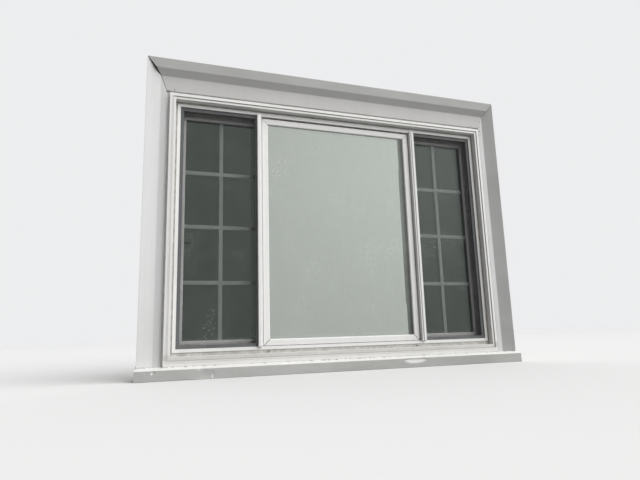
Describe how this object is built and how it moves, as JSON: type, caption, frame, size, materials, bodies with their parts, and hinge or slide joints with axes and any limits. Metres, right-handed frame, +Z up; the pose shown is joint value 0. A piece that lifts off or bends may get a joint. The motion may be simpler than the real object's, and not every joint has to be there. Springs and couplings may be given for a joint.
{
  "type": "sliding window",
  "caption": "Wide sliding window with fixed centre lite, end sashes with grids, insect screens, wood frame and wrapped casing",
  "frame": {"origin": "middle of the sill's underside, in the plane of the wall face that the casing lies on", "axes": "+X right as seen from outdoors, +Y into the room, +Z up"},
  "size_m": [1.81, 0.151, 1.382],
  "materials": {
    "vinyl": "white vinyl, satin",
    "wrap": "white coil-coated aluminium",
    "wood": "planed pine, unpainted",
    "glass": "clear float",
    "spacer": "mill",
    "aluminium": "mill",
    "grid_paint": "white",
    "screen_paint": "white",
    "mesh": "coated glass-fibre weave",
    "rubber": "matt",
    "sealant": "white sealant",
    "nail_paint": "weathered white",
    "steel": "zinc plated",
    "nylon": "moulded nylon",
    "latch_paint": "white die casting",
    "pile": "siliconised pile"
  },
  "bodies": {
    "window_frame": {"wood_sill": "wood", "wood_jamb_left": "wood", "wood_jamb_right": "wood", "wood_head": "wood", "casing_board_left": "wood", "casing_board_right": "wood", "casing_board_head": "wood", "sill_cap": "wrap", "casing_cap_left": "wrap", "casing_cap_right": "wrap", "casing_cap_head": "wrap", "cap_nails": "nail_paint", "sealant_bead": "sealant", "shims": "wood", "frame_head": "vinyl", "frame_sill": "vinyl", "frame_jamb_left": "vinyl", "frame_jamb_right": "vinyl", "mullion_left": "vinyl", "mullion_right": "vinyl", "roller_track": "aluminium", "latch_keepers": "steel", "centre_pane_outer": "glass", "centre_pane_inner": "glass", "centre_spacer": "spacer", "bead_left": "vinyl", "bead_right": "vinyl", "bead_bottom": "vinyl", "bead_top": "vinyl", "setting_blocks": "rubber"},
    "sash_left": {"sash_frame_left": "vinyl", "sash_pane_outer_left": "glass", "sash_pane_inner_left": "glass", "sash_spacer_left": "spacer", "sash_grid_left": "grid_paint", "sash_beads_left": "vinyl", "sash_pile_left": "pile", "roller_housings_left": "steel", "latch_escutcheon_left": "latch_paint"},
    "screen_left": {"screen_frame_left": "screen_paint", "screen_mesh_left": "mesh", "screen_spline_left": "rubber"},
    "lever_left": {"latch_lever_left": "latch_paint"},
    "wheel_inner_left": {"roller_wheel_inner_left": "nylon"},
    "wheel_outer_left": {"roller_wheel_outer_left": "nylon"},
    "sash_right": {"sash_frame_right": "vinyl", "sash_pane_outer_right": "glass", "sash_pane_inner_right": "glass", "sash_spacer_right": "spacer", "sash_grid_right": "grid_paint", "sash_beads_right": "vinyl", "sash_pile_right": "pile", "roller_housings_right": "steel", "latch_escutcheon_right": "latch_paint"},
    "screen_right": {"screen_frame_right": "screen_paint", "screen_mesh_right": "mesh", "screen_spline_right": "rubber"},
    "lever_right": {"latch_lever_right": "latch_paint"},
    "wheel_inner_right": {"roller_wheel_inner_right": "nylon"},
    "wheel_outer_right": {"roller_wheel_outer_right": "nylon"}
  },
  "joints": [
    {"name": "left_sash_slide", "type": "slide", "parent": "window_frame", "child": "sash_left", "axis": [1, 0, 0], "range_m": [0, 0.359]},
    {"name": "left_inner_wheel_turn", "type": "hinge", "parent": "sash_left", "child": "wheel_inner_left", "pos_m": [-0.421, 0.06, 0.1083], "axis": [0, 1, 0], "continuous": true},
    {"name": "left_outer_wheel_turn", "type": "hinge", "parent": "sash_left", "child": "wheel_outer_left", "pos_m": [-0.708, 0.06, 0.1083], "axis": [0, 1, 0], "continuous": true},
    {"name": "left_latch_turn", "type": "hinge", "parent": "sash_left", "child": "lever_left", "pos_m": [-0.7415, 0.06, 0.574], "axis": [0, 1, 0], "range_deg": [0, 90]},
    {"name": "left_screen_lift", "type": "slide", "parent": "window_frame", "child": "screen_left", "axis": [0, 0, 1], "range_m": [0, 0.011]},
    {"name": "right_sash_slide", "type": "slide", "parent": "window_frame", "child": "sash_right", "axis": [-1, 0, 0], "range_m": [0, 0.359]},
    {"name": "right_inner_wheel_turn", "type": "hinge", "parent": "sash_right", "child": "wheel_inner_right", "pos_m": [0.421, 0.06, 0.1083], "axis": [0, 1, 0], "continuous": true},
    {"name": "right_outer_wheel_turn", "type": "hinge", "parent": "sash_right", "child": "wheel_outer_right", "pos_m": [0.708, 0.06, 0.1083], "axis": [0, 1, 0], "continuous": true},
    {"name": "right_latch_turn", "type": "hinge", "parent": "sash_right", "child": "lever_right", "pos_m": [0.7415, 0.06, 0.574], "axis": [0, -1, 0], "range_deg": [0, 90]},
    {"name": "right_screen_lift", "type": "slide", "parent": "window_frame", "child": "screen_right", "axis": [0, 0, 1], "range_m": [0, 0.011]}
  ],
  "couplings": [
    {"joint": "left_inner_wheel_turn", "follows": "left_sash_slide", "rad_per_m": 125},
    {"joint": "left_outer_wheel_turn", "follows": "left_sash_slide", "rad_per_m": 125},
    {"joint": "right_inner_wheel_turn", "follows": "right_sash_slide", "rad_per_m": -125},
    {"joint": "right_outer_wheel_turn", "follows": "right_sash_slide", "rad_per_m": -125}
  ]
}
